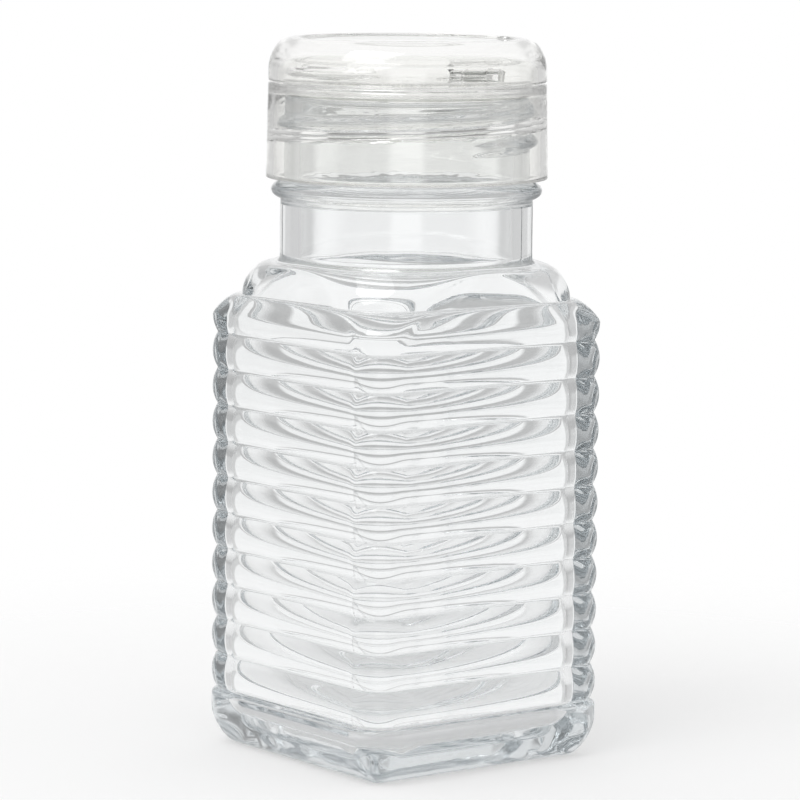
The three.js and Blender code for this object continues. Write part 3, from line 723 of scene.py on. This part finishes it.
# Drawn stainless steel wire: grey metal with fine lines along its length from the die, drawn
# 0.1 mm apart.
steel, tree = new_material("drawn_stainless_steel")
place = add(tree, "ShaderNodeTexCoord").outputs["Object"]
along = add(tree, "ShaderNodeMapping", {
    "Vector": place, "Rotation": (0, 0, -FRONT_TURN), "Scale": (0.05, 1, 1)}).outputs[0]
lines = add(tree, "ShaderNodeTexNoise", {"Vector": along, "Scale": 1 / (0.1 * MM), "Detail": 3.0})
tint = add(tree, "ShaderNodeMix", {
    "Factor": lines.outputs[0], "A": linear("#dcdddd"), "B": linear("#c4c6c7")}, data_type="RGBA")
bump = add(tree, "ShaderNodeBump", {"Strength": 1.0, "Distance": 0.004 * MM, "Height": lines.outputs[0]})
shader = add(tree, "ShaderNodeBsdfPrincipled", {
    "Base Color": tint.outputs["Result"], "Normal": bump.outputs[0], "Metallic": 1.0, "Roughness": 0.28})
add(tree, "ShaderNodeOutputMaterial", {"Surface": shader.outputs[0]})
pin.data.materials.append(steel)
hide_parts("hinge_pin")
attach(pin, "cap")


# Studio floor: matt white paper that fades into a white surround. It takes the jar's shadow. To
# the eye, and in what the glass mirrors and bends, a share of it (FLOOR_WHITE) is plain white.
FLOOR_RADIUS = 400 * MM
FLOOR_MIDDLE = 0.5 * MM
FLOOR_DROP = 0.1 * MM
FLOOR_RINGS = 24
FLOOR_COLUMNS = 96
FLOOR_WHITE = 0.45
FADE_START = 60 * MM
FADE_END = 170 * MM


def looking_rays(tree):
    """Two values of 0 or 1: camera rays alone, and camera, mirrored and bent rays together.

    The second is the larger of Is Camera Ray, Is Glossy Ray and Is Transmission Ray.
    """
    rays = add(tree, "ShaderNodeLightPath").outputs
    mirrored = add(tree, "ShaderNodeMath", {
        0: rays["Is Glossy Ray"], 1: rays["Is Transmission Ray"]}, operation="MAXIMUM").outputs[0]
    looking = add(tree, "ShaderNodeMath", {0: rays["Is Camera Ray"], 1: mirrored}, operation="MAXIMUM")
    return rays["Is Camera Ray"], looking.outputs[0]


radii = np.linspace(FLOOR_MIDDLE, FLOOR_RADIUS, FLOOR_RINGS)
turn = 2 * np.pi * share(FLOOR_COLUMNS)
floor_points = np.stack(np.broadcast_arrays(
    np.outer(radii, np.cos(turn)), np.outer(radii, np.sin(turn)), -FLOOR_DROP), axis=-1)
index = np.arange(FLOOR_RINGS * FLOOR_COLUMNS).reshape(FLOOR_RINGS, FLOOR_COLUMNS)
floor = new_object("floor", smooth_mesh(
    "floor", floor_points, ring_quads(index[::-1]) + [index[0].tolist()]))
paper, tree = new_material("matt_white_paper")
place = add(tree, "ShaderNodeTexCoord").outputs["Object"]
distance = add(tree, "ShaderNodeVectorMath", {0: place}, operation="LENGTH").outputs["Value"]
fade = add(tree, "ShaderNodeMapRange", {
    "Value": distance, "From Min": FADE_START, "From Max": FADE_END}, interpolation_type="SMOOTHSTEP")
matt = add(tree, "ShaderNodeBsdfDiffuse", {"Color": linear("#f0f0f0")})
camera_ray, looking = looking_rays(tree)
whitened = add(tree, "ShaderNodeMath", {0: looking, 1: FLOOR_WHITE}, operation="MULTIPLY")
white = add(tree, "ShaderNodeEmission", {"Color": linear("#ffffff"), "Strength": 1.0})
lit = add(tree, "ShaderNodeMixShader", {0: whitened.outputs[0], 1: matt.outputs[0], 2: white.outputs[0]})
gone = add(tree, "ShaderNodeBsdfTransparent")
shown = add(tree, "ShaderNodeMixShader", {0: fade.outputs[0], 1: lit.outputs[0], 2: gone.outputs[0]})
add(tree, "ShaderNodeOutputMaterial", {"Surface": shown.outputs[0]})
floor.data.materials.append(paper)

# Surround: white to the camera and plain even light to matt surfaces. The glass mirrors and
# bends a studio: white screens every quarter turn between grey walls that darken beyond the
# sides, a grey table below and a white ceiling above. Shades run from 0, black, to 1, white.
VIEW_DIRECTION = np.radians(52.742)
TABLE_END = np.radians(-11)
SCREEN_START = np.radians(-6)
CEILING_START = np.radians(12)
CEILING_FULL = np.radians(24)
SCREEN_HALF = np.radians(12)
SCREEN_FADE = np.radians(19)
SIDE_START = np.radians(60)
SIDE_FULL = np.radians(80)
TABLE_SHADE = 0.5
WALL_SHADE = 0.66
SIDE_SHADE = 0.3
EVEN_LIGHT = 0.9
world = bpy.data.worlds.new("studio")
bpy.context.scene.world = world
world.use_nodes = True
tree = world.node_tree
tree.nodes.clear()
direction = add(tree, "ShaderNodeTexCoord").outputs["Generated"]
ahead = add(tree, "ShaderNodeVectorRotate", {
    "Vector": direction, "Angle": -VIEW_DIRECTION}, rotation_type="Z_AXIS").outputs[0]
parts = add(tree, "ShaderNodeSeparateXYZ", {0: ahead}).outputs
azimuth = add(tree, "ShaderNodeMath", {0: parts["X"], 1: parts["Y"]}, operation="ARCTAN2").outputs[0]
folded = add(tree, "ShaderNodeMath", {0: azimuth, 1: np.pi / 4}, operation="PINGPONG").outputs[0]
aside = add(tree, "ShaderNodeMath", {0: azimuth, 1: np.pi}, operation="PINGPONG").outputs[0]
above_table = add(tree, "ShaderNodeMapRange", {
    "Value": parts["Z"], "From Min": np.sin(TABLE_END), "From Max": np.sin(SCREEN_START)},
    interpolation_type="SMOOTHSTEP").outputs[0]
sides = add(tree, "ShaderNodeMapRange", {
    "Value": aside, "From Min": SIDE_START, "From Max": SIDE_FULL,
    "To Min": WALL_SHADE, "To Max": SIDE_SHADE}, interpolation_type="SMOOTHSTEP").outputs[0]
wall = add(tree, "ShaderNodeMapRange", {
    "Value": parts["Z"], "From Min": np.sin(CEILING_START), "From Max": np.sin(CEILING_FULL),
    "To Min": sides, "To Max": 1.0}, interpolation_type="SMOOTHSTEP").outputs[0]
screen = add(tree, "ShaderNodeMapRange", {
    "Value": folded, "From Min": SCREEN_HALF, "From Max": SCREEN_FADE,
    "To Min": 1.0, "To Max": wall}, interpolation_type="SMOOTHSTEP").outputs[0]
shade = add(tree, "ShaderNodeMapRange", {
    "Value": above_table, "To Min": TABLE_SHADE, "To Max": screen}).outputs[0]
camera_ray, looking = looking_rays(tree)
seen_shade = add(tree, "ShaderNodeMath", {0: shade, 1: camera_ray}, operation="MAXIMUM").outputs[0]
backdrop = add(tree, "ShaderNodeBackground", {"Color": seen_shade, "Strength": 1.0})
even = add(tree, "ShaderNodeBackground", {"Color": linear("#ffffff"), "Strength": EVEN_LIGHT})
seen = add(tree, "ShaderNodeMixShader", {0: looking, 1: even.outputs[0], 2: backdrop.outputs[0]})
add(tree, "ShaderNodeOutputWorld", {"Surface": seen.outputs[0]})

# Lamp: one large soft box above and in front, for a gentle light on the matt floor.
LAMP_SIDE = 500 * MM
LAMP_PLACE = (100 * MM, -500 * MM, 700 * MM)
LAMP_TURN = np.radians((38, 0, 11))
LAMP_WATTS = 2.0
lamp_light = bpy.data.lights.new("soft_box", "AREA")
lamp_light.shape = "RECTANGLE"
lamp_light.size, lamp_light.size_y = LAMP_SIDE, LAMP_SIDE
lamp_light.energy = LAMP_WATTS
lamp = bpy.data.objects.new("soft_box", lamp_light)
lamp.location = LAMP_PLACE
lamp.rotation_euler = LAMP_TURN
bpy.context.scene.collection.objects.link(lamp)

# Camera: where the photograph was taken, looking a little down at a corner of the jar. Its place,
# tilt and lens were fitted to points of the photograph.
CAMERA_DISTANCE = 592.7 * MM
CAMERA_HEIGHT = 127.2 * MM
CAMERA_PITCH = np.radians(7.34)
CAMERA_YAW = np.radians(-0.065)
CAMERA_ROLL = np.radians(0.522)
CAMERA_SENSOR = 36
CAMERA_LENS = 186.93
camera_data = bpy.data.cameras.new("camera")
camera_data.sensor_width = CAMERA_SENSOR
camera_data.lens = CAMERA_LENS
camera = bpy.data.objects.new("camera", camera_data)
camera.matrix_world = (
    Matrix.Translation((
        CAMERA_DISTANCE * np.sin(VIEW_DIRECTION), -CAMERA_DISTANCE * np.cos(VIEW_DIRECTION), CAMERA_HEIGHT))
    @ Matrix.Rotation(VIEW_DIRECTION - CAMERA_YAW, 4, "Z")
    @ Matrix.Rotation(np.pi / 2 - CAMERA_PITCH, 4, "X")
    @ Matrix.Rotation(CAMERA_ROLL, 4, "Z"))
bpy.context.scene.collection.objects.link(camera)
bpy.context.scene.camera = camera

# Light passes many faces of glass and plastic before it comes out, so it may bend often.
CLEAR_BOUNCES = 64
bpy.context.scene.view_settings.view_transform = "Standard"
cycles = bpy.context.scene.cycles
cycles.max_bounces = CLEAR_BOUNCES
cycles.transmission_bounces = CLEAR_BOUNCES
cycles.glossy_bounces = CLEAR_BOUNCES
cycles.transparent_max_bounces = 16
